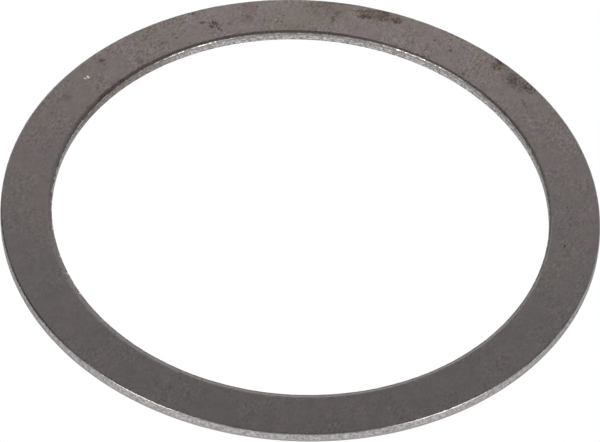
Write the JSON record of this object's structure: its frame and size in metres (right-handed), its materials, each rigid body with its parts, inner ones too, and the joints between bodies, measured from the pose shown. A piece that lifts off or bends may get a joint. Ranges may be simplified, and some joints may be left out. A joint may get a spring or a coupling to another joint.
{
  "type": "shim ring",
  "caption": "Flat punched steel shim ring, a thin wide washer that takes up end play beside a bearing on a shaft or in a housing.",
  "frame": {"origin": "centre of the hole, at the underside", "axes": "+Z along the ring's axis, towards the face with the hole's rounded edge; the ring is round, so X and Y are free"},
  "size_m": [0.1146, 0.1146, 0.0021],
  "materials": {
    "steel": "dark grey oiled sheet steel with a bare sheared edge and a few rust stains"
  },
  "bodies": {
    "root": {"shim_ring": "steel"}
  },
  "joints": []
}
